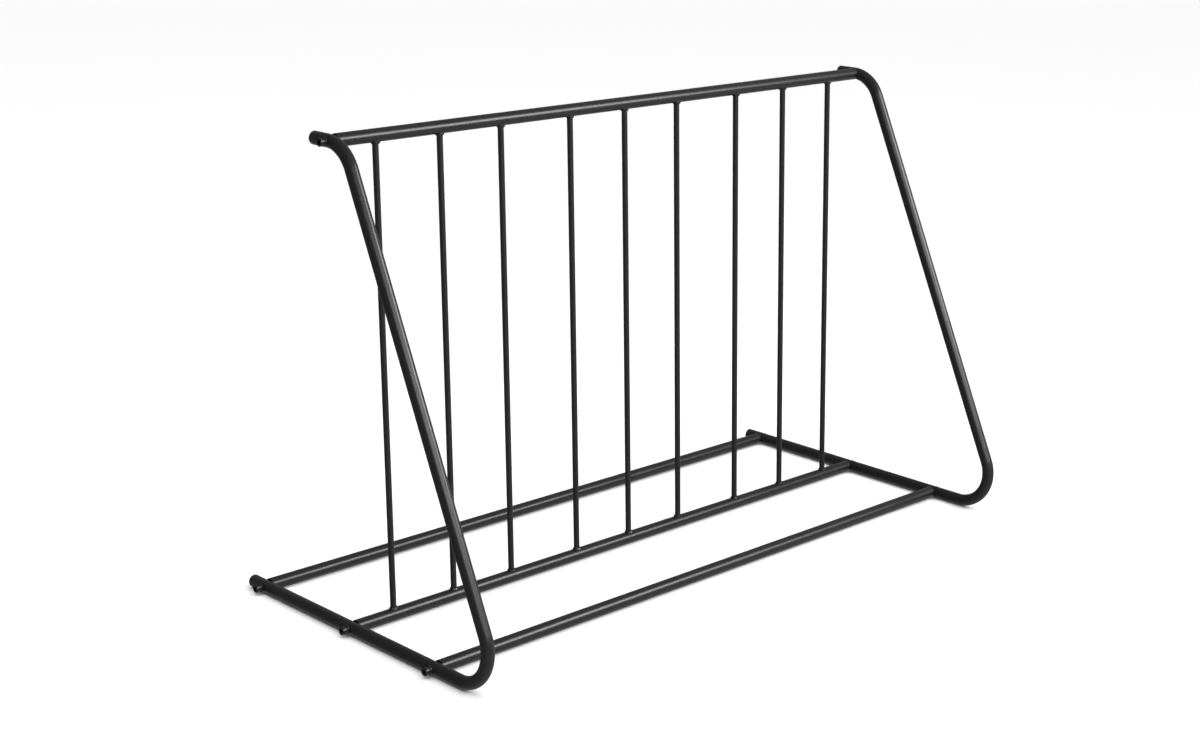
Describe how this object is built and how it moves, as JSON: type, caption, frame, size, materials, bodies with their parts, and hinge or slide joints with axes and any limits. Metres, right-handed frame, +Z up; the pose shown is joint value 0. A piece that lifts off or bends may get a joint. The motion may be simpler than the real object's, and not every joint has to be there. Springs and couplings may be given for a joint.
{
  "type": "bike rack",
  "caption": "Free-standing floor rack of bent black tube: slanted end frames joined by rails, with a grid of upright pickets whose slots hold bicycles by a wheel.",
  "frame": {"origin": "middle of the footprint on the ground", "axes": "+Z up, +X along the rails, the end frames' foot bends point to -Y"},
  "size_m": [1.5038, 0.7237, 0.9434],
  "materials": {
    "powder_coat": "semi-gloss black powder coat",
    "screw_black": "black oxide",
    "plug_plastic": "satin moulded"
  },
  "bodies": {
    "root": {"end_frame_left": "powder_coat", "end_frame_right": "powder_coat", "top_rail": "powder_coat", "back_rail": "powder_coat", "middle_rail": "powder_coat", "front_rail": "powder_coat", "picket_1": "powder_coat", "picket_2": "powder_coat", "picket_3": "powder_coat", "picket_4": "powder_coat", "picket_5": "powder_coat", "picket_6": "powder_coat", "picket_7": "powder_coat", "picket_8": "powder_coat", "picket_9": "powder_coat", "bottom_welds": "powder_coat", "top_welds": "powder_coat", "frame_bolts_left": "screw_black", "frame_washers_left": "screw_black", "rail_inserts_left": "screw_black", "base_plug_left": "plug_plastic", "top_plug_left": "plug_plastic", "frame_bolts_right": "screw_black", "frame_washers_right": "screw_black", "rail_inserts_right": "screw_black", "base_plug_right": "plug_plastic", "top_plug_right": "plug_plastic"}
  },
  "joints": []
}
